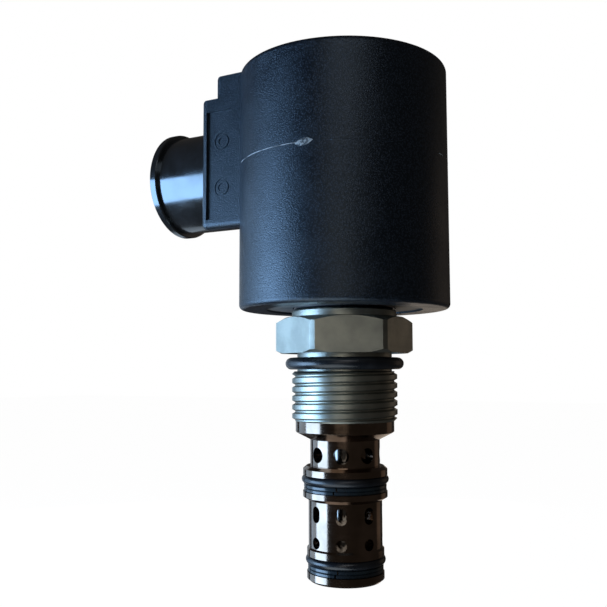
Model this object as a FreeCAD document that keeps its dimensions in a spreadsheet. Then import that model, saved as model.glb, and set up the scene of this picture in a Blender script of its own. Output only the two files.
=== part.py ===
import FreeCAD, Part
import os

import Sketcher
from types import SimpleNamespace

# Solenoid-operated screw-in cartridge valve, three ports, two positions, size 10.
# Millimetres. +Z points up the stem, z = 0 is the underside of the hexagon that seats on
# the valve block. The electrical connector points along -X.

PARTS_FOLDER = "parts"
SHEET_NAME = "Dims"
os.makedirs(PARTS_FOLDER, exist_ok=True)
doc = FreeCAD.newDocument("cartridge_valve")


# ---------------------------------------------------------------- driving dimensions

class Dim:
    """A driving dimension, or a sum of them: its number and the formula that gives it."""

    def __init__(self, value, formula):
        self.value = float(value)
        self.formula = formula

    @staticmethod
    def of(other):
        return other if isinstance(other, Dim) else Dim(other, repr(float(other)))

    def __add__(self, other):
        other = Dim.of(other)
        return Dim(self.value + other.value, f"({self.formula} + {other.formula})")

    def __sub__(self, other):
        other = Dim.of(other)
        return Dim(self.value - other.value, f"({self.formula} - {other.formula})")

    def __rsub__(self, other):
        return Dim.of(other) - self

    def __mul__(self, factor):
        return Dim(self.value * factor, f"({self.formula} * {float(factor)!r})")

    __radd__ = __add__
    __rmul__ = __mul__

    def __neg__(self):
        return self * -1.0


DRIVING_DIMENSIONS = (
    # hexagon, collar and shank of the adaptor
    ("hex_flats", 25.4, "hexagon across flats, 1 inch"),
    ("hex_height", 7.4, "hexagon height"),
    ("hex_corner", 14.35, "radius the hexagon's corners are turned to"),
    ("collar_radius", 11.0, "collar the coil sits on"),
    ("collar_top", 9.0, "top of the collar"),
    ("neck_radius", 9.9, "neck under the hexagon"),
    ("thread_radius", 10.98, "crest of the 7/8-14 UNF thread"),
    ("thread_pitch", 1.814, "14 threads per inch"),
    ("thread_depth", 0.62, "depth of the thread, its crests turned flat"),
    ("thread_start", -3.7, "first thread"),
    ("shank_end", -14.0, "end of the threaded shank"),
    # cage
    ("spigot_radius", 7.6, "cage spigot inside the shank"),
    ("spigot_top", -2.2, "top of the cage"),
    ("band_radius", 10.25, "shoulder band of the cage"),
    ("band_end", -16.3, "lower edge of the band"),
    ("upper_neck_radius", 7.22, "cage neck at port 3"),
    ("mid_land_radius", 8.73, "middle land"),
    ("mid_land_top", -23.7, "top edge of the middle land"),
    ("mid_groove_top", -24.95, "top wall of the middle seal groove"),
    ("groove_width", 3.3, "width of both seal grooves"),
    ("mid_land_end", -29.35, "lower edge of the middle land"),
    ("lower_neck_radius", 7.59, "cage neck at port 2"),
    ("nose_land_radius", 7.935, "nose land, 5/8 inch"),
    ("nose_land_top", -39.75, "top edge of the nose land"),
    ("nose_groove_top", -41.1, "top wall of the nose seal groove"),
    ("nose_end", -46.2, "end of the nose"),
    ("cage_bore", 5.0, "radius of the bore the spool runs in"),
    ("nose_bore", 5.5, "radius of the nose port"),
    ("nose_bore_depth", 3.4, "depth of the nose port"),
    ("row_three_z", -20.7, "height of the holes of port 3"),
    ("row_three_hole", 1.575, "radius of the holes of port 3"),
    ("row_two_z", -32.5, "height of the oblong holes of port 2"),
    ("row_two_hole", 1.1, "half width of the oblong holes of port 2"),
    ("row_two_height", 3.3, "height of the oblong holes of port 2"),
    ("row_one_z", -38.15, "height of the metering holes of port 2"),
    ("row_one_hole", 1.15, "radius of the metering holes of port 2"),
    # seals
    ("body_ring_wire", 1.23, "half the section of the body O-ring"),
    ("body_ring_z", -2.1, "height of the body O-ring"),
    ("ring_wire", 0.875, "half the section of the land O-rings"),
    ("backup_height", 0.75, "thickness of a backup ring"),
    ("groove_depth", 1.48, "depth of both seal grooves"),
    # stem
    ("stem_radius", 8.0, "outside radius of the guide tube"),
    ("stem_bore", 6.8, "inside radius of the guide tube"),
    ("tube_foot", 2.5, "lower end of the guide tube"),
    ("tube_top", 46.0, "upper end of the guide tube"),
    ("pole_face", 34.05, "lower face of the pole piece"),
    ("stud_radius", 6.0, "crest of the M12 x 1 stud"),
    ("stud_top", 64.15, "end of the stud"),
    ("spring_bore", 3.2, "radius of both spring pockets"),
    ("spring_top", 42.0, "upper seat of the return spring"),
    ("spring_foot", 21.0, "lower seat of the return spring"),
    # spool and armature
    ("armature_radius", 6.7, "armature"),
    ("armature_foot", 2.55, "lower face of the armature"),
    ("armature_top", 30.8, "upper face of the armature"),
    ("shim_height", 0.3, "anti-stick shim"),
    ("spool_radius", 4.98, "spool lands"),
    ("spool_waist", 3.2, "spool waist"),
    ("spool_end", -40.2, "lower end of the spool"),
    ("waist_foot", -33.6, "lower end of the waist"),
    ("waist_top", -18.5, "upper end of the waist"),
    ("land_top", -5.7, "upper end of the upper land"),
    ("rod_radius", 2.5, "rod between spool and armature"),
    ("rod_top", 10.9, "end of the rod"),
    ("link_pin_radius", 1.0, "cross pin of the rod"),
    ("link_pin_z", 6.5, "height of the cross pin"),
    # coil
    ("coil_radius", 22.1, "coil outside radius at the foot"),
    ("coil_draft", 0.06, "loss of radius to the top"),
    ("coil_foot", 9.1, "lower face of the coil"),
    ("coil_top", 59.9, "upper face of the coil"),
    ("coil_round", 1.0, "rounding of the coil's rims"),
    ("coil_bore", 8.3, "radius of the coil's bore"),
    ("yoke_radius", 18.0, "outside radius of the yoke tube"),
    ("yoke_wall", 2.5, "wall of the yoke tube"),
    ("washer_height", 3.0, "thickness of the flux washers"),
    ("lip_height", 0.4, "plastic lip over each flux washer"),
    ("lip_radius", 16.5, "opening of the lips"),
    ("bobbin_wall", 1.0, "wall of the bobbin"),
    ("bobbin_flange", 1.5, "thickness of the bobbin's flanges"),
    ("winding_radius", 14.3, "outside radius of the winding"),
    # connector boss and socket
    ("boss_face", -28.2, "outer face of the connector boss"),
    ("boss_half_width", 12.9, "half width of the connector boss"),
    ("boss_foot", 26.7, "lower edges of the connector boss"),
    ("boss_cheek", 2.2, "thickness of the boss's two cheeks under the connector tube"),
    ("boss_hollow_top", 31.5, "top of the hollow between the cheeks"),
    ("boss_top", 55.1, "upper face of the connector boss"),
    ("step_face", -24.7, "outer face of the step block"),
    ("step_top", 60.0, "upper face of the step block"),
    ("block_round", 1.5, "rounding of the boss and of the step block"),
    ("connector_z", 40.2, "height of the connector's axis"),
    ("socket_radius", 11.25, "outside radius of the connector tube"),
    ("rim_radius", 12.2, "radius of the rim at its mouth"),
    ("rim_thickness", 1.85, "thickness of the rim"),
    ("mouth_x", -43.0, "mouth of the socket"),
    ("mouth_bore", 9.6, "radius of the socket at its mouth"),
    ("mouth_depth", 3.5, "depth of the wide mouth"),
    ("socket_bore", 9.1, "radius of the socket behind the mouth"),
    ("socket_floor", -30.5, "floor of the socket"),
    ("socket_root", -22.8, "inner end of the socket in the boss"),
    ("contact_radius", 0.8, "contact pins"),
    ("contact_offset", 2.6, "contact pins either side of the middle"),
    ("contact_tip", -38.6, "tips of the contact pins"),
    # nut
    ("nut_foot", 59.6, "underside of the coil nut"),
    ("nut_top", 63.95, "top of the coil nut"),
    ("nut_flats", 17.0, "coil nut across flats"),
    ("nut_bore", 6.1, "bore of the coil nut"),
    ("nut_ring_radius", 7.7, "middle of the seal under the nut"),
    ("nut_ring_wire", 0.55, "half the section of the seal under the nut"),
)

sheet = doc.addObject("Spreadsheet::Sheet", SHEET_NAME)
named = {}
for row, (alias, value, meaning) in enumerate(DRIVING_DIMENSIONS, start=1):
    sheet.set(f"A{row}", meaning)
    sheet.set(f"B{row}", str(value))
    sheet.setAlias(f"B{row}", alias)
    named[alias] = Dim(value, f"{SHEET_NAME}.{alias}")
d = SimpleNamespace(**named)
doc.recompute()


# ---------------------------------------------------------------- modelling helpers

nodes = []


def bind(feature, prop, dim):
    """Drive one property of a feature from the sheet."""
    dim = Dim.of(dim)
    setattr(feature, prop, dim.value)
    feature.setExpression(prop, dim.formula)


def new_body(label, turn=0.0):
    """A sub-part of its own, turned about the valve's axis by `turn` degrees."""
    body = doc.addObject("PartDesign::Body", label)
    body.Label = label
    body.Placement = FreeCAD.Placement(
        FreeCAD.Vector(0, 0, 0), FreeCAD.Rotation(FreeCAD.Vector(0, 0, 1), turn))
    nodes.append(body)
    return body


def origin_feature(body, role):
    return next(item for item in body.Origin.OriginFeatures if item.Role == role)


def new_sketch(body, name, plane="XZ_Plane", shift=(0, 0, 0)):
    sketch = body.newObject("Sketcher::SketchObject", name)
    sketch.AttachmentSupport = [(origin_feature(body, plane), "")]
    sketch.MapMode = "FlatFace"
    if any(shift):
        offset = [Dim.of(value) for value in shift]
        sketch.AttachmentOffset = FreeCAD.Placement(
            FreeCAD.Vector(*(item.value for item in offset)), FreeCAD.Rotation())
        for axis, item in zip("xyz", offset):
            sketch.setExpression(f"AttachmentOffset.Base.{axis}", item.formula)
    return sketch


def pin_point(sketch, geometry, position, point):
    """Tie one point of a sketch to its two driven coordinates."""
    for kind, axis, coordinate in zip(("DistanceX", "DistanceY"), (-2, -1), point):
        coordinate = Dim.of(coordinate)
        if coordinate.formula == "0.0":
            sketch.addConstraint(Sketcher.Constraint("PointOnObject", geometry, position, axis))
            continue
        index = sketch.addConstraint(
            Sketcher.Constraint(kind, -1, 1, geometry, position, coordinate.value))
        sketch.setExpression(f"Constraints[{index}]", coordinate.formula)


def outline(body, name, points, plane="XZ_Plane", shift=(0, 0, 0)):
    """A closed outline of straight lines through driven points."""
    sketch = new_sketch(body, name, plane, shift)
    places = [FreeCAD.Vector(Dim.of(u).value, Dim.of(v).value, 0) for u, v in points]
    count = len(places)
    for index, place in enumerate(places):
        sketch.addGeometry(Part.LineSegment(place, places[(index + 1) % count]), False)
    for index in range(count):
        sketch.addConstraint(
            Sketcher.Constraint("Coincident", index, 2, (index + 1) % count, 1))
    for index, point in enumerate(points):
        pin_point(sketch, index, 1, point)
    return sketch


def circles(body, name, rings, plane="XZ_Plane", shift=(0, 0, 0)):
    """Circles, each given as its centre's two coordinates and its radius."""
    sketch = new_sketch(body, name, plane, shift)
    for u, v, radius in rings:
        centre = FreeCAD.Vector(Dim.of(u).value, Dim.of(v).value, 0)
        radius = Dim.of(radius)
        up = FreeCAD.Vector(0, 0, 1)
        geometry = sketch.addGeometry(Part.Circle(centre, up, radius.value), False)
        pin_point(sketch, geometry, 3, (u, v))
        index = sketch.addConstraint(Sketcher.Constraint("Radius", geometry, radius.value))
        sketch.setExpression(f"Constraints[{index}]", radius.formula)
    return sketch


def feature(body, kind, sketch, **settings):
    """Add a PartDesign feature that uses a sketch."""
    result = body.newObject(f"PartDesign::{kind}", f"{sketch.Name}_{kind.lower()}")
    result.Profile = sketch
    for prop, value in settings.items():
        if isinstance(value, Dim):
            bind(result, prop, value)
        else:
            setattr(result, prop, value)
    sketch.Visibility = False
    body.Tip = result
    return result


def turned(body, name, points, kind="Revolution", axis="V_Axis", shift=(0, 0, 0)):
    """Turn an outline about the valve's axis, adding metal or cutting it."""
    sketch = outline(body, name, points, shift=shift)
    return feature(body, kind, sketch, ReferenceAxis=(sketch, [axis]), Angle=360.0)


def bored(body, name, points):
    return turned(body, name, points, kind="Groove")


def box_outline(low, high):
    return ((low[0], low[1]), (high[0], low[1]), (high[0], high[1]), (low[0], high[1]))


def hexagon(flats):
    """Corner points of a hexagon with two corners on the Y axis."""
    half = flats * 0.5
    corner = flats * (1 / 3 ** 0.5)
    middle = corner * 0.5
    return ((0, corner), (-half, middle), (-half, -middle),
            (0, -corner), (half, -middle), (half, middle))


def thread(body, name, crest, depth, pitch, low, high):
    """Cut a right-hand V thread into a turned shank."""
    over = 0.25
    flank = 0.577
    root = pitch * 0.06
    flare = root + (depth + over) * flank
    start = low - pitch * 0.5
    sketch = outline(body, name, (
        (crest - depth, start - root), (crest - depth, start + root),
        (crest + over, start + flare), (crest + over, start - flare)))
    helix = feature(body, "SubtractiveHelix", sketch, ReferenceAxis=(sketch, ["V_Axis"]))
    helix.Mode = "pitch-height-angle"
    bind(helix, "Pitch", pitch)
    bind(helix, "Height", high - low + pitch)
    return helix


def ring(label, radius, height, wire):
    """An O-ring: the radius of its middle line, its height and half its section."""
    body = new_body(label)
    sketch = circles(body, f"{label}_section", ((radius, height, wire),))
    feature(body, "Revolution", sketch, ReferenceAxis=(sketch, ["V_Axis"]), Angle=360.0)
    return body


def washer(label, inner, outer, foot, top):
    body = new_body(label)
    turned(body, f"{label}_section", box_outline((inner, foot), (outer, top)))
    return body


def rounded(body, radius, wanted):
    """Round the edges of the tip that `wanted` picks out."""
    doc.recompute()
    base = body.Tip
    edges = [f"Edge{index}" for index, edge in enumerate(base.Shape.Edges, start=1)
             if wanted(edge)]
    fillet = body.newObject("PartDesign::Fillet", f"{body.Name}_rounding")
    fillet.Base = (base, edges)
    bind(fillet, "Radius", radius)
    body.Tip = fillet
    return fillet


def spans(edge, axis, low, high):
    """True if an edge lies between two coordinates along an axis."""
    box = edge.BoundBox
    least = getattr(box, f"{axis}Min")
    most = getattr(box, f"{axis}Max")
    return low - 0.01 <= least and most <= high + 0.01


# ---------------------------------------------------------------- adaptor

adaptor = new_body("adaptor_body")
hex_sketch = outline(adaptor, "hexagon_outline", hexagon(d.hex_flats), plane="XY_Plane")
feature(adaptor, "Pad", hex_sketch, Length=d.hex_height)
turned(adaptor, "shank", (
    (0, d.shank_end), (d.thread_radius - 0.7, d.shank_end),
    (d.thread_radius, d.shank_end + 0.7), (d.thread_radius, d.thread_start - 0.5),
    (d.thread_radius - 0.5, d.thread_start), (d.neck_radius, d.thread_start),
    (d.neck_radius, 1.0), (0, 1.0)))
turned(adaptor, "collar", (
    (0, d.hex_height - 1), (d.collar_radius, d.hex_height - 1),
    (d.collar_radius, d.collar_top - 0.3), (d.collar_radius - 0.3, d.collar_top),
    (0, d.collar_top)))
bored(adaptor, "hexagon_corners", (
    (d.hex_corner - 1.05, -0.5), (d.hex_corner - 1.05, 0), (d.hex_corner, 0.6),
    (d.hex_corner, d.hex_height - 1.05), (d.hex_corner - 1.85, d.hex_height),
    (d.hex_corner - 1.85, d.hex_height + 0.5), (d.hex_corner + 2, d.hex_height + 0.5),
    (d.hex_corner + 2, -0.5)))
seal_relief = d.neck_radius + 2 * d.body_ring_wire + 0.06
bored(adaptor, "seal_relief", (
    (d.neck_radius, -0.2), (seal_relief, -0.2), (seal_relief, 0.3), (d.neck_radius, 0.3)))
thread(adaptor, "shank_thread", d.thread_radius, d.thread_depth, d.thread_pitch,
       d.shank_end, d.thread_start)
bored(adaptor, "adaptor_bores", (
    (0, d.collar_top + 1), (d.stem_radius, d.collar_top + 1), (d.stem_radius, d.tube_foot),
    (4.0, d.tube_foot), (4.0, d.spigot_top), (d.spigot_radius, d.spigot_top),
    (d.spigot_radius, d.shank_end - 1), (0, d.shank_end - 1)))

ring("body_o_ring", d.neck_radius + d.body_ring_wire, d.body_ring_z, d.body_ring_wire)

# ---------------------------------------------------------------- cage with its ports

# The holes stand eight to a row; the first row of drillings points 19.5 degrees off +X.
cage = new_body("cage", turn=19.5)
mid_floor = d.mid_land_radius - d.groove_depth
nose_floor = d.nose_land_radius - d.groove_depth
mid_groove_end = d.mid_groove_top - d.groove_width
nose_groove_end = d.nose_groove_top - d.groove_width
turned(cage, "cage_outline", (
    (0, d.spigot_top), (d.spigot_radius, d.spigot_top), (d.spigot_radius, d.shank_end),
    (d.band_radius, d.shank_end), (d.band_radius, d.band_end + 0.2),
    (d.band_radius - 0.2, d.band_end), (d.upper_neck_radius, d.band_end - 1.45),
    (d.upper_neck_radius, d.mid_land_top + 0.6),
    (d.mid_land_radius - 0.7, d.mid_land_top + 0.6),
    (d.mid_land_radius, d.mid_land_top), (d.mid_land_radius, d.mid_groove_top),
    (mid_floor, d.mid_groove_top), (mid_floor, mid_groove_end),
    (d.mid_land_radius, mid_groove_end), (d.mid_land_radius, d.mid_land_end),
    (d.lower_neck_radius, d.mid_land_end - 0.7),
    (d.lower_neck_radius, d.nose_land_top + 0.35),
    (d.nose_land_radius, d.nose_land_top), (d.nose_land_radius, d.nose_groove_top),
    (nose_floor, d.nose_groove_top), (nose_floor, nose_groove_end),
    (d.nose_land_radius, nose_groove_end), (d.nose_land_radius, d.nose_end + 0.5),
    (d.nose_land_radius - 0.6, d.nose_end), (0, d.nose_end)))
nose_bore_foot = d.nose_end + d.nose_bore_depth
bored(cage, "cage_bores", (
    (0, d.spigot_top + 1), (d.cage_bore, d.spigot_top + 1), (d.cage_bore, nose_bore_foot),
    (d.nose_bore, nose_bore_foot), (d.nose_bore, d.nose_end - 1), (0, d.nose_end - 1)))


def drill_row(name, sketch):
    """Drill a sketch through both walls, then four times round at 45 degrees."""
    pocket = feature(cage, "Pocket", sketch, Type="ThroughAll", Midplane=True)
    doc.recompute()
    pattern = cage.newObject("PartDesign::PolarPattern", f"{name}_row")
    pattern.Originals = [pocket]
    pattern.Axis = (origin_feature(cage, "Z_Axis"), [""])
    pattern.Angle = 135.0
    cage.Tip = pattern
    pattern.Occurrences = 4


def oblong(name, height, half_width, length):
    """A tall hole with round ends."""
    sketch = new_sketch(cage, name)
    reach = (length * 0.5) - half_width
    ends = (height + reach, height - reach)
    tops = [FreeCAD.Vector(0, end.value, 0) for end in ends]
    r = half_width.value
    side = FreeCAD.Vector(r, 0, 0)
    crown = FreeCAD.Vector(0, r, 0)
    sketch.addGeometry(Part.Arc(tops[0] + side, tops[0] + crown, tops[0] - side), False)
    sketch.addGeometry(Part.LineSegment(tops[0] - side, tops[1] - side), False)
    sketch.addGeometry(Part.Arc(tops[1] - side, tops[1] - crown, tops[1] + side), False)
    sketch.addGeometry(Part.LineSegment(tops[1] + side, tops[0] + side), False)
    for first, second in ((0, 1), (1, 2), (2, 3), (3, 0)):
        sketch.addConstraint(Sketcher.Constraint("Tangent", first, 2, second, 1))
    for geometry, end in ((0, ends[0]), (2, ends[1])):
        pin_point(sketch, geometry, 3, (0, end))
    index = sketch.addConstraint(Sketcher.Constraint("Radius", 0, r))
    sketch.setExpression(f"Constraints[{index}]", half_width.formula)
    return sketch


drill_row("port_three", circles(cage, "port_three_hole", ((0, d.row_three_z, d.row_three_hole),)))
drill_row("port_two", oblong("port_two_hole", d.row_two_z, d.row_two_hole, d.row_two_height))
drill_row("metering", circles(cage, "metering_hole", ((0, d.row_one_z, d.row_one_hole),)))

# ---------------------------------------------------------------- seals of the two lands

SPLIT_WIDTH = 0.3
SPLIT_TURN = -80.0
CORNER = 0.15


def backup_ring(label, inner, outer, foot, top, turn):
    """A split ring of oblong section, its outer corners broken."""
    body = new_body(label, turn)
    turned(body, f"{label}_section", (
        (inner, foot), (outer - CORNER, foot), (outer, foot + CORNER),
        (outer, top - CORNER), (outer - CORNER, top), (inner, top)))
    split = outline(body, f"{label}_split", box_outline(
        (0, -SPLIT_WIDTH / 2), (outer + 5, SPLIT_WIDTH / 2)), plane="XY_Plane")
    feature(body, "Pocket", split, Type="ThroughAll", Midplane=True)


for land, floor, groove_top, groove_end in (
        ("mid", mid_floor, d.mid_groove_top, mid_groove_end),
        ("nose", nose_floor, d.nose_groove_top, nose_groove_end)):
    ring(f"{land}_o_ring", floor + d.ring_wire, groove_top - d.ring_wire, d.ring_wire)
    backups = (("lower", groove_end, SPLIT_TURN),
               ("upper", groove_end + d.backup_height + 0.03, SPLIT_TURN + 4))
    for place, foot, turn in backups:
        backup_ring(f"{land}_backup_ring_{place}", floor + 0.02,
                    floor + d.groove_depth - 0.18, foot, foot + d.backup_height, turn)

# ---------------------------------------------------------------- stem: tube and pole piece

tube = new_body("guide_tube")
turned(tube, "tube_wall", (
    (d.stem_bore, d.tube_foot), (d.stem_radius, d.tube_foot), (d.stem_radius, d.tube_top),
    (d.stem_bore, d.tube_top)))

pole = new_body("pole_piece")
turned(pole, "pole_outline", (
    (0, d.pole_face), (d.stem_bore, d.pole_face), (d.stem_bore, d.tube_top),
    (d.stem_radius, d.tube_top), (d.stem_radius, d.tube_top + 1.5),
    (d.stem_radius - 0.5, d.tube_top + 2), (d.stud_radius, d.tube_top + 2),
    (d.stud_radius, d.stud_top - 0.6), (d.stud_radius - 0.6, d.stud_top), (0, d.stud_top)))
thread(pole, "stud_thread", d.stud_radius, Dim.of(0.55), Dim.of(1.0),
       d.stud_top - 6, d.stud_top)
bored(pole, "pole_spring_pocket", (
    (0, d.pole_face - 1), (d.spring_bore, d.pole_face - 1), (d.spring_bore, d.spring_top),
    (0, d.spring_top)))

spring = new_body("return_spring")
WIRE = 0.4
spring_wire = circles(spring, "spring_wire", ((2.6, d.spring_foot + WIRE + 0.05, WIRE),))
coils = feature(spring, "AdditiveHelix", spring_wire, ReferenceAxis=(spring_wire, ["V_Axis"]))
coils.Mode = "pitch-height-angle"
coils.Pitch = 2.2
bind(coils, "Height", d.spring_top - d.spring_foot - 2 * (WIRE + 0.05))

# ---------------------------------------------------------------- spool and armature


def balance_groove(height):
    """Outline points of one shallow oil groove round a spool land, from below upwards."""
    width, depth = 0.35, 0.25
    floor = d.spool_radius - depth
    return ((d.spool_radius, height), (floor, height), (floor, height + width),
            (d.spool_radius, height + width))


lower_grooves = [point for step in (2.4, 4.2) for point in balance_groove(d.spool_end + step)]
upper_grooves = [point for step in (3.0, 5.5, 8.0)
                 for point in balance_groove(d.waist_top + step)]
spool = new_body("spool")
turned(spool, "spool_outline", (
    (0, d.spool_end), (d.spool_radius - 0.3, d.spool_end),
    (d.spool_radius, d.spool_end + 0.3), *lower_grooves, (d.spool_radius, d.waist_foot),
    (d.spool_waist, d.waist_foot), (d.spool_waist, d.waist_top),
    (d.spool_radius, d.waist_top), *upper_grooves, (d.spool_radius, d.land_top - 0.3),
    (d.spool_radius - 0.3, d.land_top), (d.rod_radius, d.land_top),
    (d.rod_radius, d.rod_top - 0.3), (d.rod_radius - 0.3, d.rod_top), (0, d.rod_top)))
DRILLING = 1.5
bored(spool, "spool_drilling", (
    (0, d.spool_end - 1), (DRILLING, d.spool_end - 1), (DRILLING, d.land_top + 2.5),
    (0, d.land_top + 2.5)))
vent = circles(spool, "spool_vent", ((0, d.land_top + 1.5, 0.8),))
feature(spool, "Pocket", vent, Type="ThroughAll", Midplane=True)
link_hole = circles(spool, "spool_link_hole", ((0, d.link_pin_z, d.link_pin_radius),))
feature(spool, "Pocket", link_hole, Type="ThroughAll", Midplane=True)

armature = new_body("armature")
turned(armature, "armature_outline", (
    (0, d.armature_foot), (d.armature_radius - 0.4, d.armature_foot),
    (d.armature_radius, d.armature_foot + 0.4), (d.armature_radius, d.armature_top - 0.4),
    (d.armature_radius - 0.4, d.armature_top), (0, d.armature_top)))
bored(armature, "armature_bores", (
    (0, d.armature_top + 1), (d.spring_bore, d.armature_top + 1),
    (d.spring_bore, d.spring_foot), (0, d.spring_foot)))
bored(armature, "armature_rod_bore", (
    (0, d.armature_foot - 1), (d.rod_radius, d.armature_foot - 1),
    (d.rod_radius, d.rod_top), (0, d.rod_top)))
armature_hole = circles(armature, "armature_link_hole",
                        ((0, d.link_pin_z, d.link_pin_radius),))
feature(armature, "Pocket", armature_hole, Type="ThroughAll", Midplane=True)
OIL_SLOT = 0.75
for side in (-1, 1):
    slot = outline(armature, f"oil_slot_{'left' if side < 0 else 'right'}", box_outline(
        ((d.armature_radius - 1.2) * side, -OIL_SLOT),
        ((d.armature_radius + 1) * side, OIL_SLOT)), plane="XY_Plane")
    feature(armature, "Pocket", slot, Type="ThroughAll", Midplane=True)

link_pin = new_body("link_pin")
link_circle = circles(link_pin, "link_pin_circle", ((0, d.link_pin_z, d.link_pin_radius),))
feature(link_pin, "Pad", link_circle, Midplane=True, Length=2 * d.armature_radius - 0.6)

washer("anti_stick_shim", d.spring_bore + 0.1, d.armature_radius - 0.5, d.armature_top,
       d.armature_top + d.shim_height)

# ---------------------------------------------------------------- coil: magnetic parts

lower_washer_foot = d.coil_foot + d.lip_height
yoke_foot = lower_washer_foot + d.washer_height
upper_washer_top = d.coil_top - d.lip_height
yoke_top = upper_washer_top - d.washer_height
flange_foot = yoke_foot + d.bobbin_flange
flange_top = yoke_top - d.bobbin_flange
bobbin_radius = d.coil_bore + d.bobbin_wall
flange_radius = d.yoke_radius - d.yoke_wall - 0.1
TAPE = 0.3

lower_washer = washer("flux_washer_lower", d.coil_bore, d.yoke_radius, lower_washer_foot,
                      yoke_foot)
bored(lower_washer, "seal_counterbore", box_outline(
    (d.coil_bore - 0.5, lower_washer_foot - 1), (d.coil_bore + 2.6, lower_washer_foot + 1.2)))
ring("coil_seal_lower", d.coil_bore + 1.6, d.coil_foot + 0.7, Dim.of(0.75))
washer("flux_washer_upper", d.coil_bore, d.yoke_radius, yoke_top, upper_washer_top)

yoke = washer("yoke_tube", d.yoke_radius - d.yoke_wall, d.yoke_radius, yoke_foot, yoke_top)
window = outline(yoke, "terminal_window", box_outline(
    (-d.yoke_radius - 1, d.connector_z - 2.7), (-d.yoke_radius + 5, d.connector_z + 2.7)))
feature(yoke, "Pocket", window, Type="Length", Midplane=True, Length=Dim.of(9.0))

bobbin = new_body("bobbin")
turned(bobbin, "bobbin_section", (
    (d.coil_bore, yoke_foot), (flange_radius, yoke_foot), (flange_radius, flange_foot),
    (bobbin_radius, flange_foot), (bobbin_radius, flange_top), (flange_radius, flange_top),
    (flange_radius, yoke_top), (d.coil_bore, yoke_top)))
washer("winding", bobbin_radius, d.winding_radius, flange_foot, flange_top)
washer("winding_tape", d.winding_radius, d.winding_radius + TAPE, flange_foot, flange_top)

# ---------------------------------------------------------------- coil: moulded housing

housing = new_body("coil_housing")
turned(housing, "housing_outline", (
    (0, d.coil_foot), (d.coil_radius, d.coil_foot),
    (d.coil_radius - d.coil_draft, d.coil_top), (0, d.coil_top)))
rounded(housing, d.coil_round, lambda edge: edge.BoundBox.ZLength < 0.01)
boss_root = -d.lip_radius
hollow_half_width = d.boss_half_width - d.boss_cheek
boss = outline(housing, "boss_outline", (
    (-d.boss_half_width, d.boss_foot), (-hollow_half_width, d.boss_foot),
    (-hollow_half_width, d.boss_hollow_top), (hollow_half_width, d.boss_hollow_top),
    (hollow_half_width, d.boss_foot), (d.boss_half_width, d.boss_foot),
    (d.boss_half_width, d.boss_top), (-d.boss_half_width, d.boss_top)),
    plane="YZ_Plane", shift=(0, 0, d.boss_face))
feature(housing, "Pad", boss, Length=boss_root - d.boss_face)
step = outline(housing, "step_outline", box_outline(
    (d.step_face, d.boss_top - 1), (boss_root, d.step_top)))
feature(housing, "Pad", step, Midplane=True, Length=2 * d.boss_half_width - 0.6)
rounded(housing, d.block_round, lambda edge: (
    spans(edge, "X", d.boss_face.value, d.boss_face.value)
    and max(edge.BoundBox.YMax, -edge.BoundBox.YMin) > d.boss_half_width.value - 0.1
    and edge.Length > d.boss_cheek.value + 0.1))
rounded(housing, d.block_round, lambda edge: (
    spans(edge, "X", d.step_face.value, d.step_face.value)
    and not spans(edge, "Z", d.boss_foot.value, d.boss_top.value)))
rounded(housing, d.block_round - 0.2, lambda edge: (
    spans(edge, "X", d.boss_face.value, 0)
    and spans(edge, "Z", d.boss_foot.value, d.boss_foot.value) and edge.Length > 4
    and max(edge.BoundBox.YMax, -edge.BoundBox.YMin) > d.boss_half_width.value - 0.1))

PANEL_DEPTH = 0.6
panel_low = (d.boss_face + 1.6, d.boss_foot + 2.0)
panel_high = (d.boss_face + 8.0, d.boss_top - 2.7)
panel = outline(housing, "side_panel", box_outline(panel_low, panel_high),
                shift=(0, 0, d.boss_half_width - PANEL_DEPTH))
panel_cut = feature(housing, "Pocket", panel, Length=Dim.of(2.0), Reversed=True)
doc.recompute()
mirror = housing.newObject("PartDesign::Mirrored", "side_panel_other_side")
mirror.Originals = [panel_cut]
mirror.MirrorPlane = (origin_feature(housing, "XZ_Plane"), [""])
housing.Tip = mirror

MARK_DEPTH = 0.15
mark_x = d.boss_face + 5.3
mark_rings = [(mark_x, d.connector_z + height, radius)
              for height in (5.5, -4.6) for radius in (1.85, 1.6, 0.9)]
marks = circles(housing, "mould_marks", mark_rings,
                shift=(0, 0, d.boss_half_width - PANEL_DEPTH - MARK_DEPTH))
feature(housing, "Pocket", marks, Length=Dim.of(0.5), Reversed=True)

bored(housing, "housing_cavity", (
    (0, d.coil_foot - 1), (d.lip_radius, d.coil_foot - 1), (d.lip_radius, lower_washer_foot),
    (d.yoke_radius, lower_washer_foot), (d.yoke_radius, upper_washer_top),
    (d.lip_radius, upper_washer_top), (d.lip_radius, d.coil_top + 1), (0, d.coil_top + 1)))
contact_places = [(d.contact_offset * side, d.connector_z, d.contact_radius)
                  for side in (-1, 1)]
socket_seat = circles(housing, "socket_seat", ((0, d.connector_z, d.socket_radius),),
                      plane="YZ_Plane", shift=(0, 0, d.socket_root))
feature(housing, "Pocket", socket_seat, Length=Dim.of(10.0))
passages = circles(housing, "contact_passages", contact_places, plane="YZ_Plane",
                   shift=(0, 0, -d.lip_radius))
feature(housing, "Pocket", passages, Length=Dim.of(12.0))

# ---------------------------------------------------------------- connector

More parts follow.
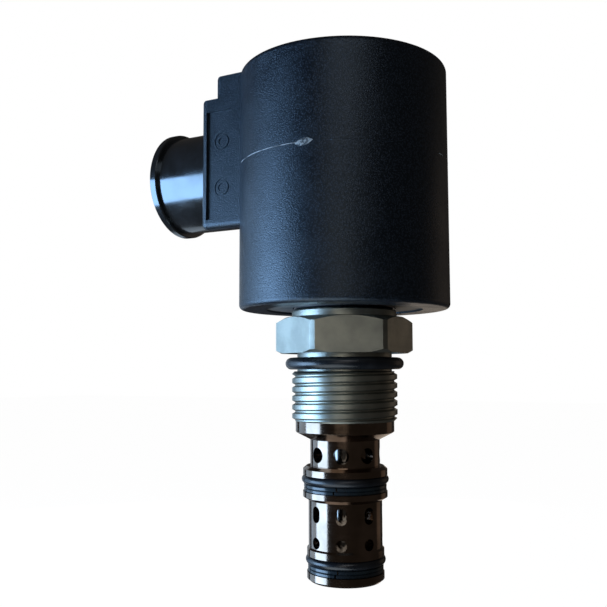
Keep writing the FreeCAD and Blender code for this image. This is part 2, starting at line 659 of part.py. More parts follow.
shroud = new_body("connector_shroud")
turned(shroud, "shroud_outline", (
    (d.socket_root, 0), (d.socket_root, d.socket_radius),
    (d.mouth_x + d.rim_thickness, d.socket_radius),
    (d.mouth_x + d.rim_thickness, d.rim_radius - 0.2),
    (d.mouth_x + d.rim_thickness - 0.2, d.rim_radius), (d.mouth_x + 0.3, d.rim_radius),
    (d.mouth_x, d.rim_radius - 0.3), (d.mouth_x, d.mouth_bore),
    (d.mouth_x + d.mouth_depth, d.mouth_bore), (d.mouth_x + d.mouth_depth, d.socket_bore),
    (d.socket_floor, d.socket_bore), (d.socket_floor, 0)),
    axis="H_Axis", shift=(0, d.connector_z, 0))
KEY_HALF_WIDTH = 0.9
key_rib = outline(shroud, "key_rib", box_outline(
    (d.mouth_x + d.mouth_depth, d.connector_z + d.socket_bore - 1.1),
    (d.socket_floor + 0.5, d.connector_z + d.socket_bore + 0.2)))
feature(shroud, "Pad", key_rib, Midplane=True, Length=Dim.of(2 * KEY_HALF_WIDTH))
shroud_holes = circles(shroud, "shroud_contact_holes", contact_places, plane="YZ_Plane",
                       shift=(0, 0, d.socket_root + 1))
feature(shroud, "Pocket", shroud_holes, Length=Dim.of(10.0))

contact_root = -d.winding_radius - TAPE - 0.2
for side, place in zip((1, -1), ("left", "right")):
    contact = new_body(f"contact_pin_{place}")
    contact_circle = circles(
        contact, f"contact_{place}_circle",
        ((d.contact_offset * side, d.connector_z, d.contact_radius),),
        plane="YZ_Plane", shift=(0, 0, d.contact_tip))
    feature(contact, "Pad", contact_circle, Length=contact_root - d.contact_tip)
    rounded(contact, Dim.of(0.5), lambda edge: spans(
        edge, "X", d.contact_tip.value, d.contact_tip.value))

# ---------------------------------------------------------------- coil nut

nut = new_body("coil_nut")
nut_hex = outline(nut, "nut_outline", hexagon(d.nut_flats), plane="XY_Plane",
                  shift=(0, 0, d.nut_foot))
feature(nut, "Pad", nut_hex, Length=d.nut_top - d.nut_foot)
turned(nut, "nut_flange", box_outline(
    (d.nut_bore, d.nut_foot), (d.nut_flats * 0.5 + 1, d.nut_foot + 0.7)))
nut_corner = d.nut_flats * 0.5 + 1
bored(nut, "nut_corners", (
    (nut_corner - 1.4, d.nut_top + 0.5), (nut_corner - 1.4, d.nut_top),
    (nut_corner, d.nut_top - 0.7), (nut_corner, d.nut_foot - 0.5),
    (nut_corner + 2, d.nut_foot - 0.5), (nut_corner + 2, d.nut_top + 0.5)))
bored(nut, "nut_bore_outline", (
    (0, d.nut_foot - 1), (d.nut_bore, d.nut_foot - 1), (d.nut_bore, d.nut_top - 0.4),
    (d.nut_bore + 0.4, d.nut_top), (d.nut_bore + 0.4, d.nut_top + 1), (0, d.nut_top + 1)))
bored(nut, "nut_seal_groove", box_outline(
    (d.nut_ring_radius - 0.7, d.nut_foot - 1),
    (d.nut_ring_radius + 0.7, d.nut_foot + 2 * d.nut_ring_wire)))
ring("coil_nut_seal", d.nut_ring_radius, d.nut_foot + d.nut_ring_wire - 0.05, d.nut_ring_wire)

# ---------------------------------------------------------------- check and export

doc.recompute()
faults = [item.Name for item in doc.Objects
          if {"Invalid", "Error"} & set(item.State)]
for node in nodes:
    if node.Shape.isNull() or not node.Shape.isValid() or len(node.Shape.Solids) != 1:
        faults.append(node.Label)
if faults:
    raise RuntimeError(f"these did not build: {', '.join(faults)}")
for node in nodes:
    node.Shape.exportStep(os.path.join(PARTS_FOLDER, f"{node.Label}.step"))
print(f"{len(nodes)} parts written")
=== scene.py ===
import math
import bmesh
import bpy
from mathutils import Matrix, Vector


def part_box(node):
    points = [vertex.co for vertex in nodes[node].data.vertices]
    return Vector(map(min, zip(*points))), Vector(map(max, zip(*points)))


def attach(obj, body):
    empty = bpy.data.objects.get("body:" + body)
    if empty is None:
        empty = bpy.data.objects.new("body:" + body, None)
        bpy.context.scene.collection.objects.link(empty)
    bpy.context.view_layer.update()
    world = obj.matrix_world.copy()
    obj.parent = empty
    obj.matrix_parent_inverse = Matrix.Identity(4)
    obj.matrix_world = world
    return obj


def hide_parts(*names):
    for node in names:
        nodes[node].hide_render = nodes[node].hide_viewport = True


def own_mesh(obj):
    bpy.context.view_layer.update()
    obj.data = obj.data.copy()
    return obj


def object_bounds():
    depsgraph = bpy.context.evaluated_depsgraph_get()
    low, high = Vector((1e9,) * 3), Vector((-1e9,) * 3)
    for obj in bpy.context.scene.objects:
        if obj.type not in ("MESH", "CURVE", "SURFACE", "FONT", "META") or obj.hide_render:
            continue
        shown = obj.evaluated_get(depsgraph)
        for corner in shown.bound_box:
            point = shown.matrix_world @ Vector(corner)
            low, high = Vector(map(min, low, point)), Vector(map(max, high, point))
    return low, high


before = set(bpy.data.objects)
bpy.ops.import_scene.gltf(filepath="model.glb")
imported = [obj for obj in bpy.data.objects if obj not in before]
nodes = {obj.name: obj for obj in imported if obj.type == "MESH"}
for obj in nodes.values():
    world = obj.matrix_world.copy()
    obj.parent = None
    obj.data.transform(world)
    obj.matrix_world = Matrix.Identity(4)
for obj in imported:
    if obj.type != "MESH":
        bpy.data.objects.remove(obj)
cad_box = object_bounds()
MM = 0.001

# ------------------------------------------------------------------ adaptor
# The hexagon, its collar and the threaded shank are one bar-turned steel piece, zinc
# plated bright. The lathe leaves fine rings round the turned parts and the flats carry
# the drawn grain of the bar; spanners and handling leave a few dull scuffs.


def new_group(name, inputs, outputs):
    """An empty shader group with its sockets, ready for nodes."""
    group = bpy.data.node_groups.new(name, "ShaderNodeTree")
    for title, kind in inputs:
        group.interface.new_socket(title, in_out="INPUT", socket_type=kind)
    for title, kind in outputs:
        group.interface.new_socket(title, in_out="OUTPUT", socket_type=kind)
    return group, group.nodes.new("NodeGroupInput"), group.nodes.new("NodeGroupOutput")


def math_node(tree, operation, first, second=None):
    """One arithmetic node; each operand is a socket or a plain number."""
    node = tree.nodes.new("ShaderNodeMath")
    node.operation = operation
    for index, operand in enumerate((first, second)):
        if operand is None:
            continue
        if isinstance(operand, (int, float)):
            node.inputs[index].default_value = operand
        else:
            tree.links.new(operand, node.inputs[index])
    return node.outputs[0]


def noise_node(tree, vector, scale, detail, roughness):
    """Cloudy noise from 0 to 1; scale is its blotches to the metre."""
    node = tree.nodes.new("ShaderNodeTexNoise")
    node.inputs["Scale"].default_value = scale
    node.inputs["Detail"].default_value = detail
    node.inputs["Roughness"].default_value = roughness
    tree.links.new(vector, node.inputs["Vector"])
    return node.outputs["Fac"]


def step_mask(tree, value, low, high):
    """0 below low, 1 above high, smooth between."""
    node = tree.nodes.new("ShaderNodeMapRange")
    node.interpolation_type = "SMOOTHSTEP"
    node.inputs["From Min"].default_value = low
    node.inputs["From Max"].default_value = high
    tree.links.new(value, node.inputs["Value"])
    return node.outputs["Result"]


def stretched(tree, vector, stretch):
    """The same coordinates drawn out along some of their axes."""
    node = tree.nodes.new("ShaderNodeVectorMath")
    node.operation = "MULTIPLY"
    node.inputs[1].default_value = stretch
    tree.links.new(vector, node.inputs[0])
    return node.outputs[0]


def turning_marks_group():
    """Lathe rings: fine lines that run round the valve's axis."""
    group, entry, result = new_group(
        "turning_marks", (("Position", "NodeSocketVector"),),
        (("Height", "NodeSocketFloat"), ("Streak", "NodeSocketFloat")))
    position = entry.outputs["Position"]
    rings = noise_node(group, stretched(group, position, (0.02, 0.02, 1.0)), 9000, 4, 0.7)
    streak = noise_node(group, stretched(group, position, (0.08, 0.08, 1.0)), 2600, 3, 0.6)
    group.links.new(rings, result.inputs["Height"])
    group.links.new(streak, result.inputs["Streak"])
    return group


def handling_group():
    """Scuffs and finger marks: where a surface has gone duller, from 0 to 1."""
    group, entry, result = new_group(
        "handling", (("Position", "NodeSocketVector"),),
        (("Scuff", "NodeSocketFloat"), ("Cloud", "NodeSocketFloat")))
    position = entry.outputs["Position"]
    cloud = noise_node(group, position, 170, 4, 0.55)
    scratch = noise_node(group, stretched(group, position, (1.0, 0.25, 2.6)), 1500, 5, 0.75)
    group.links.new(step_mask(group, scratch, 0.6, 0.72), result.inputs["Scuff"])
    group.links.new(step_mask(group, cloud, 0.35, 0.7), result.inputs["Cloud"])
    return group


turning_marks = turning_marks_group()
handling = handling_group()


class Finish:
    """One material: its Principled shader, and short calls that dress it."""

    def __init__(self, name, colour, roughness, metallic=0.0):
        self.material = bpy.data.materials.new(name)
        self.material.use_nodes = True
        self.material.diffuse_color = (*colour, 1)
        self.tree = self.material.node_tree
        self.shader = self.tree.nodes["Principled BSDF"]
        self.shader.inputs["Base Color"].default_value = (*colour, 1)
        self.shader.inputs["Roughness"].default_value = roughness
        self.shader.inputs["Metallic"].default_value = metallic
        self.position = self.tree.nodes.new("ShaderNodeTexCoord").outputs["Object"]

    def use(self, group):
        """Put a shared shader group into this material and give its outputs."""
        node = self.tree.nodes.new("ShaderNodeGroup")
        node.node_tree = group
        self.tree.links.new(self.position, node.inputs["Position"])
        return node.outputs

    def colour(self, mask, low, high):
        """Base colour runs from low to high as the mask runs from 0 to 1."""
        mix = self.tree.nodes.new("ShaderNodeMix")
        mix.data_type = "RGBA"
        mix.inputs["A"].default_value = (*low, 1)
        mix.inputs["B"].default_value = (*high, 1)
        self.tree.links.new(mask, mix.inputs["Factor"])
        self.tree.links.new(mix.outputs["Result"], self.shader.inputs["Base Color"])

    def roughness(self, mask, low, high):
        """Roughness runs from low to high as the mask runs from 0 to 1."""
        node = self.tree.nodes.new("ShaderNodeMapRange")
        node.inputs["To Min"].default_value = low
        node.inputs["To Max"].default_value = high
        self.tree.links.new(mask, node.inputs["Value"])
        self.tree.links.new(node.outputs["Result"], self.shader.inputs["Roughness"])

    def bump(self, height, depth):
        """Depth is the real height of the relief in metres."""
        node = self.tree.nodes.new("ShaderNodeBump")
        node.inputs["Distance"].default_value = depth
        self.tree.links.new(height, node.inputs["Height"])
        self.tree.links.new(node.outputs["Normal"], self.shader.inputs["Normal"])

    def on(self, *names):
        """Dress the named nodes of the frame in this material."""
        for name in names:
            mesh = nodes[name].data
            mesh.materials.clear()
            mesh.materials.append(self.material)


def turned_metal(name, low, high, rough_low, rough_high, ring_depth):
    """A lathe-turned metal: two tones, two roughnesses and the height of its rings."""
    finish = Finish(name, high, rough_low, metallic=1.0)
    marks = finish.use(turning_marks)
    wear = finish.use(handling)
    finish.colour(wear["Cloud"], low, high)
    dull = math_node(finish.tree, "MAXIMUM", marks["Streak"], wear["Scuff"])
    finish.roughness(dull, rough_low, rough_high)
    finish.bump(marks["Height"], ring_depth)
    return finish


zinc = turned_metal("bright_zinc_plate", (0.29, 0.30, 0.265), (0.40, 0.405, 0.355),
                    0.26, 0.46, 0.000014)
zinc.on("adaptor_body")

# ------------------------------------------------------------------ body seal
# The large O-ring under the hexagon is moulded nitrile rubber. It is stretched over the
# neck, lightly oiled, and has the soft sheen and faint bloom of new rubber.

rubber = Finish("nitrile_rubber", (0.006, 0.008, 0.011), 0.26)
rubber_wear = rubber.use(handling)
rubber.colour(rubber_wear["Cloud"], (0.004, 0.006, 0.009), (0.009, 0.011, 0.015))
rubber.roughness(rubber_wear["Cloud"], 0.26, 0.42)
rubber.bump(noise_node(rubber.tree, rubber.position, 2400, 3, 0.6), 0.000008)
rubber.on("body_o_ring", "mid_o_ring", "nose_o_ring", "coil_seal_lower", "coil_nut_seal")

# ------------------------------------------------------------------ cage
# The cage is hardened steel, turned, cross drilled in three rows and ground, then given a
# dark oil-blackened finish that still mirrors its surroundings with a brown cast.

cage_finish = turned_metal("oil_blackened_steel", (0.18, 0.13, 0.095), (0.27, 0.195, 0.15),
                           0.08, 0.2, 0.000003)
cage_finish.on("cage")

# ------------------------------------------------------------------ land seals
# Each land has an O-ring above two flat backup rings. The backups are cut from dark
# filled fluoroplastic, split once so that they snap into the groove, and feel waxy.

backup = Finish("filled_fluoroplastic", (0.01, 0.016, 0.02), 0.25)
backup_wear = backup.use(handling)
backup.colour(backup_wear["Cloud"], (0.007, 0.012, 0.016), (0.014, 0.022, 0.028))
backup.roughness(backup_wear["Scuff"], 0.2, 0.4)
backup.bump(noise_node(backup.tree, backup.position, 1800, 2, 0.5), 0.000006)
backup.on("mid_backup_ring_upper", "mid_backup_ring_lower",
          "nose_backup_ring_upper", "nose_backup_ring_lower")

# ------------------------------------------------------------------ stem
# The guide tube is drawn and ground non-magnetic steel. The pole piece that closes it,
# and the armature inside, are turned from soft magnetic iron.

stem_steel = turned_metal("ground_stem_steel", (0.50, 0.50, 0.49), (0.62, 0.61, 0.59),
                          0.16, 0.34, 0.000004)
stem_steel.on("guide_tube", "pole_piece")
iron = turned_metal("turned_iron", (0.42, 0.41, 0.40), (0.52, 0.51, 0.49), 0.24, 0.45, 0.00001)
iron.on("armature")

# ------------------------------------------------------------------ return spring
# Bright patented spring wire, coiled cold with its end turns closed and ground flat. It
# sits between the pole piece and the armature and shortens as the armature is pulled up.

spring_wire = turned_metal("spring_wire", (0.52, 0.52, 0.52), (0.66, 0.66, 0.65),
                           0.18, 0.32, 0.000002)
spring_low, spring_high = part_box("return_spring")
WIRE_RADIUS = 0.4 * MM
WIRE_SIDES = 12
RINGS_PER_TURN = 36
CLOSED_TURNS = 1.0
CLOSED_PITCH = 2.05 * WIRE_RADIUS
ACTIVE_TURNS = 7.5


def smooth_mesh(name, shape):
    """Turn a finished bmesh into a smooth-shaded mesh with its faces looking outwards."""
    bmesh.ops.recalc_face_normals(shape, faces=shape.faces)
    mesh = bpy.data.meshes.new(name)
    shape.to_mesh(mesh)
    shape.free()
    mesh.shade_smooth()
    return mesh


def new_piece(name, mesh, finish, body):
    """A new visible piece that rides on a body and wears the given finish."""
    piece = bpy.data.objects.new(name, mesh)
    bpy.context.scene.collection.objects.link(piece)
    mesh.materials.append(finish.material)
    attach(piece, body)
    return piece


def coil_spring(name, low, high, radius):
    """A wire wound round the valve's axis, its end turns closed and ground flat."""
    turns = ACTIVE_TURNS + 2 * CLOSED_TURNS
    closed_rise = CLOSED_TURNS * CLOSED_PITCH
    start, end = low + 0.5 * WIRE_RADIUS, high - 0.5 * WIRE_RADIUS
    rings = []
    shape = bmesh.new()
    for step in range(round(turns * RINGS_PER_TURN) + 1):
        turn = step / RINGS_PER_TURN
        if turn < CLOSED_TURNS:
            height = start + closed_rise * turn / CLOSED_TURNS
        elif turn > turns - CLOSED_TURNS:
            height = end - closed_rise * (turns - turn) / CLOSED_TURNS
        else:
            share = (turn - CLOSED_TURNS) / ACTIVE_TURNS
            height = start + closed_rise + (end - start - 2 * closed_rise) * share
        outward = Vector((math.cos(2 * math.pi * turn), math.sin(2 * math.pi * turn), 0))
        ring = []
        for side in range(WIRE_SIDES):
            angle = 2 * math.pi * side / WIRE_SIDES
            place = outward * (radius + WIRE_RADIUS * math.cos(angle))
            place.z = min(max(height + WIRE_RADIUS * math.sin(angle), low), high)
            ring.append(shape.verts.new(place))
        rings.append(ring)
    for first, second in zip(rings, rings[1:]):
        for side in range(WIRE_SIDES):
            after = (side + 1) % WIRE_SIDES
            shape.faces.new((first[side], first[after], second[after], second[side]))
    shape.faces.new(rings[0])
    shape.faces.new(tuple(reversed(rings[-1])))
    return smooth_mesh(name, shape)


wound_spring = new_piece("wound_spring", coil_spring(
    "wound_spring", spring_low[2], spring_high[2], spring_high[0] - WIRE_RADIUS),
    spring_wire, "valve_body")
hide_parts("return_spring")
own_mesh(wound_spring)

# ------------------------------------------------------------------ spool
# The spool and its cross pin are hardened steel, ground and lapped to run in the cage
# with a film of oil. They are smooth; their colour is darkened as painted shade for the
# inside of the cage, and they show only through the cross holes.

# Dark base colour: painted shade for the spool's place inside the cage.
shade_darkened_lapped_steel = turned_metal("lapped_steel_painted_shade", (0.15, 0.14, 0.13), (0.22, 0.21, 0.195),
                      0.08, 0.2, 0.000001)
shade_darkened_lapped_steel.on("spool", "link_pin")

# ------------------------------------------------------------------ anti-stick shim
# A ring punched from rolled brass strip and laid on top of the armature, so that the
# armature doesn't stick to the pole piece when the coil is switched off.

brass = turned_metal("rolled_brass", (0.62, 0.44, 0.17), (0.74, 0.55, 0.24),
                     0.22, 0.4, 0.000004)
brass.on("anti_stick_shim")

# ------------------------------------------------------------------ coil iron
# The yoke tube and the two flux washers are soft steel, punched or cut from tube and
# zinc plated dull. Only the washers' rims show, round the stem.

coil_iron = turned_metal("dull_zinc_plate", (0.30, 0.31, 0.32), (0.42, 0.43, 0.44),
                         0.38, 0.6, 0.000008)
coil_iron.on("yoke_tube", "flux_washer_lower", "flux_washer_upper")

# ------------------------------------------------------------------ winding
# The bobbin is black nylon. The winding is enamelled copper wire laid in close turns
# and held by a turn of yellow polyester tape.

nylon = Finish("bobbin_nylon", (0.03, 0.03, 0.03), 0.5)
nylon_wear = nylon.use(handling)
nylon.colour(nylon_wear["Cloud"], (0.022, 0.022, 0.023), (0.04, 0.04, 0.041))
nylon.roughness(nylon_wear["Scuff"], 0.42, 0.6)
nylon.bump(noise_node(nylon.tree, nylon.position, 3000, 2, 0.5), 0.00001)
nylon.on("bobbin")

WIRE_PITCH = 0.45 * MM
copper = Finish("enamelled_copper", (0.55, 0.20, 0.07), 0.25, metallic=1.0)
copper_height = copper.tree.nodes.new("ShaderNodeSeparateXYZ")
copper.tree.links.new(copper.position, copper_height.inputs[0])
turns = math_node(copper.tree, "SINE", math_node(
    copper.tree, "MULTIPLY", copper_height.outputs["Z"], 2 * math.pi / WIRE_PITCH))
copper.bump(turns, 0.0001)
# The copper is painted darker in the crevices between the turns: painted shade.
copper.colour(step_mask(copper.tree, turns, -1.0, 0.4), (0.25, 0.07, 0.02), (0.62, 0.24, 0.09))
copper.on("winding")

tape = Finish("polyester_tape", (0.72, 0.6, 0.2), 0.3)
tape_wear = tape.use(handling)
tape.colour(tape_wear["Cloud"], (0.6, 0.48, 0.13), (0.78, 0.66, 0.25))
tape.roughness(tape_wear["Scuff"], 0.25, 0.5)
tape.bump(noise_node(tape.tree, tape.position, 500, 2, 0.5), 0.00003)
tape.on("winding_tape")

# ------------------------------------------------------------------ coil housing
# The housing is glass-filled nylon moulded over the iron and the bobbin, with the
# connector's boss on its side. The mould is spark-eroded, which leaves a fine even grain;
# the small light specks in its colour at the grain's cells are painted glints.


def grain_group():
    """Spark-eroded mould grain: even fine pits, with sparse deeper ones."""
    group, entry, result = new_group(
        "mould_grain", (("Position", "NodeSocketVector"),),
        (("Height", "NodeSocketFloat"), ("Pits", "NodeSocketFloat")))
    position = entry.outputs["Position"]
    fine = noise_node(group, position, 6500, 2, 0.6)
    cells = group.nodes.new("ShaderNodeTexVoronoi")
    cells.inputs["Scale"].default_value = 3000
    group.links.new(position, cells.inputs["Vector"])
    pits = step_mask(group, cells.outputs["Distance"], 0.12, 0.6)
    group.links.new(math_node(group, "ADD", fine, math_node(group, "MULTIPLY", pits, 0.4)),
                    result.inputs["Height"])
    group.links.new(pits, result.inputs["Pits"])
    return group


mould_grain = grain_group()
housing = Finish("moulded_nylon", (0.012, 0.017, 0.026), 0.42)
housing_grain_and_glints = housing.use(mould_grain)
housing_wear = housing.use(handling)
# Light specks at the grain's cells on a dark ground: painted glints of the surface's sparkle.
housing.colour(housing_grain_and_glints["Pits"], (0.016, 0.023, 0.036), (0.001, 0.003, 0.006))
housing.roughness(housing_wear["Cloud"], 0.28, 0.37)
housing.bump(housing_grain_and_glints["Height"], 0.00004)
housing.shader.inputs["Specular IOR Level"].default_value = 0.6
housing.shader.inputs["Specular Tint"].default_value = (0.72, 0.86, 1.0, 1)
housing.on("coil_housing")

# ------------------------------------------------------------------ parting line
# Where the mould halves meet, a thin flash stands a few hundredths of a millimetre proud
# of the coil. A knife trimmed it, which left it pale and broken in places; on the runs that
# face the window and the warm wall the pale colour is also a painted highlight. The gate
# where the nylon came in was torn off on the same line and left a small lens-shaped scar.

COIL_DRAFT = 0.06 * MM
PARTING_DROP = 0.6 * MM
housing_low, housing_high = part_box("coil_housing")
socket_low, socket_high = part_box("connector_shroud")
parting_z = (socket_low[2] + socket_high[2]) / 2 - PARTING_DROP
parting_share = (parting_z - housing_low[2]) / (housing_high[2] - housing_low[2])
coil_radius = housing_high[0] - COIL_DRAFT * parting_share

whitened_highlit_flash = Finish("trimmed_flash", (0.2, 0.2, 0.2), 0.6)
flash_wear = whitened_highlit_flash.use(handling)
flash_break = noise_node(whitened_highlit_flash.tree, whitened_highlit_flash.position, 330, 4, 0.6)
# Pale breaks in the flash colour: knife whitening, and a painted highlight where the flash
# faces the lights.
whitened_highlit_flash.colour(step_mask(whitened_highlit_flash.tree, flash_break, 0.32, 0.55),
                (0.02, 0.023, 0.028), (0.32, 0.35, 0.38))
whitened_highlit_flash.roughness(flash_wear["Cloud"], 0.5, 0.7)
whitened_highlit_flash.bump(noise_node(whitened_highlit_flash.tree, whitened_highlit_flash.position, 4000, 3, 0.6), 0.00002)


def swept_band(name, outline, angles):
    """Sweep a closed outline of (radius, height) points part of the way round the axis."""
    shape = bmesh.new()
    rings = []
    for angle in angles:
        direction = Vector((math.cos(angle), math.sin(angle), 0))
        rings.append([shape.verts.new(direction * radius + Vector((0, 0, height)))
                      for radius, height in outline])
    count = len(outline)
    for first, second in zip(rings, rings[1:]):
        for index in range(count):
            after = (index + 1) % count
            shape.faces.new((first[index], second[index], second[after], first[after]))
    shape.faces.new(rings[0])
    shape.faces.new(tuple(reversed(rings[-1])))
    return smooth_mesh(name, shape)


FLASH_HALF = 0.08 * MM
FLASH_ROOT = 0.1 * MM
FLASH_STEP = math.radians(1.2)
# Where each run starts and ends, in degrees round the valve, how far it was left proud in
# millimetres, and its finish: the pale one is knife whitening and painted highlight.
FLASH_RUNS = (
    ("near", -138.0, -87.5, 0.03, whitened_highlit_flash),
    ("middle", -70.0, -30.0, 0.04, housing),
    ("tick", -4.0, 1.5, 0.05, whitened_highlit_flash),
    ("far", 12.0, 143.0, 0.02, housing),
)
for place, start, end, proud, finish in FLASH_RUNS:
    start, end = math.radians(start), math.radians(end)
    steps = max(round((end - start) / FLASH_STEP), 4)
    flash_angles = [start + (end - start) * step / steps for step in range(steps + 1)]
    shoulder = coil_radius + proud * MM / 2
    flash_outline = ((coil_radius - FLASH_ROOT, parting_z - FLASH_HALF),
                     (shoulder, parting_z - FLASH_HALF),
                     (coil_radius + proud * MM, parting_z),
                     (shoulder, parting_z + FLASH_HALF),
                     (coil_radius - FLASH_ROOT, parting_z + FLASH_HALF))
    name = f"parting_flash_{place}"
    new_piece(name, swept_band(name, flash_outline, flash_angles), finish, "coil")


SCAR_LENGTH = 3.9 * MM
SCAR_WIDTH = 1.7 * MM
SCAR_PROUD = 0.14 * MM
SCAR_EDGE = 0.04 * MM
SCAR_TILT = 0.06
SCAR_COLUMNS = 36
SCAR_ROWS = 12


def torn_lens(name, radius, turn, height):
    """A lens-shaped scar that stands proud of a round wall and dies away at its edge."""
    shape = bmesh.new()
    grid = []
    for column in range(SCAR_COLUMNS + 1):
        along = 2 * column / SCAR_COLUMNS - 1
        reach = max(1 - along * along, 0.02)
        angle = turn + along * SCAR_LENGTH / (2 * radius)
        line = []
        for row in range(SCAR_ROWS + 1):
            across = 2 * row / SCAR_ROWS - 1
            torn = 0.22 * math.sin(23 * along + 5 * across) * math.cos(17 * across)
            crown = SCAR_PROUD * (1 - across * across) * reach * (0.75 + torn)
            out = radius + crown - SCAR_EDGE * across * across
            rise = height + across * SCAR_WIDTH * reach / 2 + along * SCAR_LENGTH * SCAR_TILT
            line.append(shape.verts.new((out * math.cos(angle), out * math.sin(angle), rise)))
        grid.append(line)
    for first, second in zip(grid, grid[1:]):
        for row in range(SCAR_ROWS):
            shape.faces.new((first[row], second[row], second[row + 1], first[row + 1]))
    return smooth_mesh(name, shape)


GATE_TURN = math.radians(-83.8)
gate_finish = Finish("torn_gate", (0.1, 0.11, 0.12), 0.5)
gate_wear = gate_finish.use(mould_grain)
gate_tear = noise_node(gate_finish.tree, gate_finish.position, 1500, 3, 0.6)
gate_finish.colour(step_mask(gate_finish.tree, gate_tear, 0.4, 0.62),
                   (0.02, 0.027, 0.036), (0.26, 0.29, 0.31))
gate_finish.roughness(gate_wear["Pits"], 0.35, 0.6)
gate_finish.bump(gate_tear, 0.00012)
new_piece("gate_scar", torn_lens("gate_scar", coil_radius, GATE_TURN, parting_z),
          gate_finish, "coil")

# ------------------------------------------------------------------ connector
# The socket is a separate smooth nylon moulding set into the boss before the housing is
# moulded round it. It is polished, with a plain rim at its mouth.

socket = Finish("polished_nylon", (0.012, 0.013, 0.014), 0.17)
socket_wear = socket.use(handling)
socket.colour(socket_wear["Cloud"], (0.009, 0.010, 0.011), (0.016, 0.017, 0.019))
socket.roughness(socket_wear["Cloud"], 0.13, 0.24)
socket.bump(noise_node(socket.tree, socket.position, 260, 2, 0.4), 0.00004)
socket.shader.inputs["Specular IOR Level"].default_value = 1.0
socket.shader.inputs["Specular Tint"].default_value = (0.7, 0.86, 1.0, 1)
socket.shader.inputs["Coat Weight"].default_value = 0.7
socket.shader.inputs["Coat Roughness"].default_value = 0.14
socket.on("connector_shroud")

# ------------------------------------------------------------------ contacts
# Two round contacts, turned from brass rod and tin plated, are pressed into the floor of
# the socket. The plating leaves them smooth; they stand deep inside, out of the light.

tin = turned_metal("tin_plate", (0.60, 0.60, 0.58), (0.72, 0.71, 0.69), 0.2, 0.36, 0.000002)
tin.on("contact_pin_left", "contact_pin_right")

# ------------------------------------------------------------------ coil nut
# A low hexagon nut with a flange, turned from bar and zinc plated like the adaptor. It
# clamps the coil to the collar and carries an O-ring in its underside.

nut_zinc = turned_metal("nut_zinc_plate", (0.58, 0.60, 0.62), (0.70, 0.71, 0.73),
                        0.22, 0.45, 0.00001)
nut_zinc.on("coil_nut")

# ------------------------------------------------------------------ studio
# A plain pale floor well below the valve, a pale surround behind it, and soft panels in
# a dim room: cool window light from the left, weak fills in front, light thrown back up
# from the table, and a little warm light from the wall on the right.

CAMERA_AZIMUTH = 26.0
CAMERA_DISTANCE = 170.0 * MM
CAMERA_HEIGHT = -3.84 * MM
CAMERA_PITCH = 4.85
CAMERA_YAW = 2.89
CAMERA_ROLL = -0.13
LENS = 47.85
SENSOR_WIDTH = 36
FLOOR_DROP = 75 * MM
FLOOR_HALF = 3.0

floor_mesh = bpy.data.meshes.new("floor")
floor_z = cad_box[0][2] - FLOOR_DROP
floor_mesh.from_pydata([(-FLOOR_HALF, -FLOOR_HALF, floor_z), (FLOOR_HALF, -FLOOR_HALF, floor_z),
                        (FLOOR_HALF, FLOOR_HALF, floor_z), (-FLOOR_HALF, FLOOR_HALF, floor_z)],
                       [], [(0, 1, 2, 3)])
floor = bpy.data.objects.new("floor", floor_mesh)
bpy.context.scene.collection.objects.link(floor)
floor_finish = Finish("pale_floor", (0.06, 0.06, 0.06), 1.0)
floor_mesh.materials.append(floor_finish.material)
floor_finish.shader.inputs["Emission Color"].default_value = (1, 1, 1, 1)
floor_finish.shader.inputs["Emission Strength"].default_value = 0.985
floor.visible_glossy = False
floor.visible_diffuse = False
floor.visible_shadow = False


def direction_from(azimuth, elevation):
    """Unit vector from the valve towards a place given as a view of it is given."""
    turn, lift = math.radians(azimuth), math.radians(elevation)
    return Vector((math.sin(turn) * math.cos(lift), -math.cos(turn) * math.cos(lift),
                   math.sin(lift)))


TARGET = Vector((0, 0, 10 * MM))


def panel(name, azimuth, elevation, distance, width, height, watts, colour):
    """A soft rectangular light that faces the valve; sizes in metres."""
    light = bpy.data.lights.new(name, "AREA")
    light.shape = "RECTANGLE"
    light.size = width
    light.size_y = height
    light.energy = watts
    light.color = colour
    lamp = bpy.data.objects.new(name, light)
    bpy.context.scene.collection.objects.link(lamp)
    towards = direction_from(azimuth, elevation)
    lamp.location = TARGET + towards * distance
    lamp.rotation_euler = towards.to_track_quat("Z", "Y").to_euler()


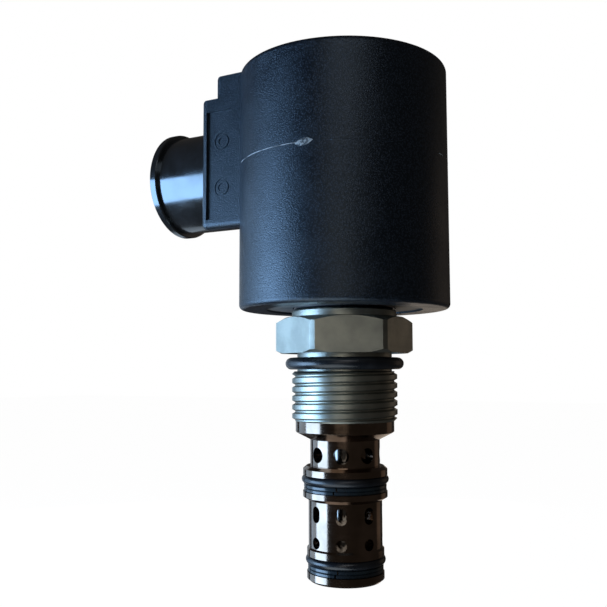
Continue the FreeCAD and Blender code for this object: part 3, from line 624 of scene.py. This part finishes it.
# Each has its azimuth round from the camera, negative to its left, its elevation, its
# distance, width and height, its power in watts and its colour.
PANELS = (
    ("window", -80, -10, 0.55, 0.42, 0.42, 5.9, (0.40, 0.65, 1.0)),
    ("window_side", -118, -6, 0.6, 0.3, 0.5, 0.75, (0.46, 0.70, 1.0)),
    ("window_edge", -155, -6, 0.6, 0.2, 0.7, 0.26, (0.7, 0.85, 1.0)),
    ("ceiling_fill", 4, 37, 0.6, 0.3, 0.2, 0.34, (0.92, 0.95, 1.0)),
    ("low_fill", -8, 3, 0.6, 0.3, 0.14, 0.19, (1.0, 0.95, 0.86)),
    ("table_bounce", -40, -58, 0.5, 0.5, 0.5, 1.6, (0.8, 0.92, 1.0)),
    ("right_bounce", 170, 0, 0.6, 0.1, 0.9, 0.14, (1.0, 0.85, 0.7)),
    ("right_wall", 126, 0, 0.7, 0.3, 0.4, 0.05, (1.0, 0.76, 0.58)),
)
for name, turn, elevation, distance, width, height, watts, colour in PANELS:
    panel(name, CAMERA_AZIMUTH + turn, elevation, distance, width, height, watts, colour)

world = bpy.data.worlds.new("surround")
bpy.context.scene.world = world
world.use_nodes = True
air = world.node_tree
seen = air.nodes["Background"]
seen.inputs["Color"].default_value = (1, 1, 1, 1)
seen.inputs["Strength"].default_value = 1.0
room = air.nodes.new("ShaderNodeBackground")
room.inputs["Color"].default_value = (0.036, 0.032, 0.029, 1)
room.inputs["Strength"].default_value = 1.0
chooser = air.nodes.new("ShaderNodeMixShader")
ray = air.nodes.new("ShaderNodeLightPath")
air.links.new(ray.outputs["Is Camera Ray"], chooser.inputs["Fac"])
air.links.new(room.outputs["Background"], chooser.inputs[1])
air.links.new(seen.outputs["Background"], chooser.inputs[2])
air.links.new(chooser.outputs["Shader"], air.nodes["World Output"].inputs["Surface"])

camera_data = bpy.data.cameras.new("camera")
camera_data.lens = LENS
camera_data.sensor_width = SENSOR_WIDTH
camera_data.clip_start = 0.01
camera = bpy.data.objects.new("camera", camera_data)
bpy.context.scene.collection.objects.link(camera)
stand = direction_from(CAMERA_AZIMUTH, 0) * CAMERA_DISTANCE
aim = Matrix.Rotation(math.radians(CAMERA_AZIMUTH + CAMERA_YAW), 4, "Z") \
    @ Matrix.Rotation(math.radians(90 + CAMERA_PITCH), 4, "X") \
    @ Matrix.Rotation(math.radians(CAMERA_ROLL), 4, "Z")
camera.matrix_world = Matrix.Translation(stand + Vector((0, 0, CAMERA_HEIGHT))) @ aim
bpy.context.scene.camera = camera
bpy.context.scene.view_settings.view_transform = "Standard"
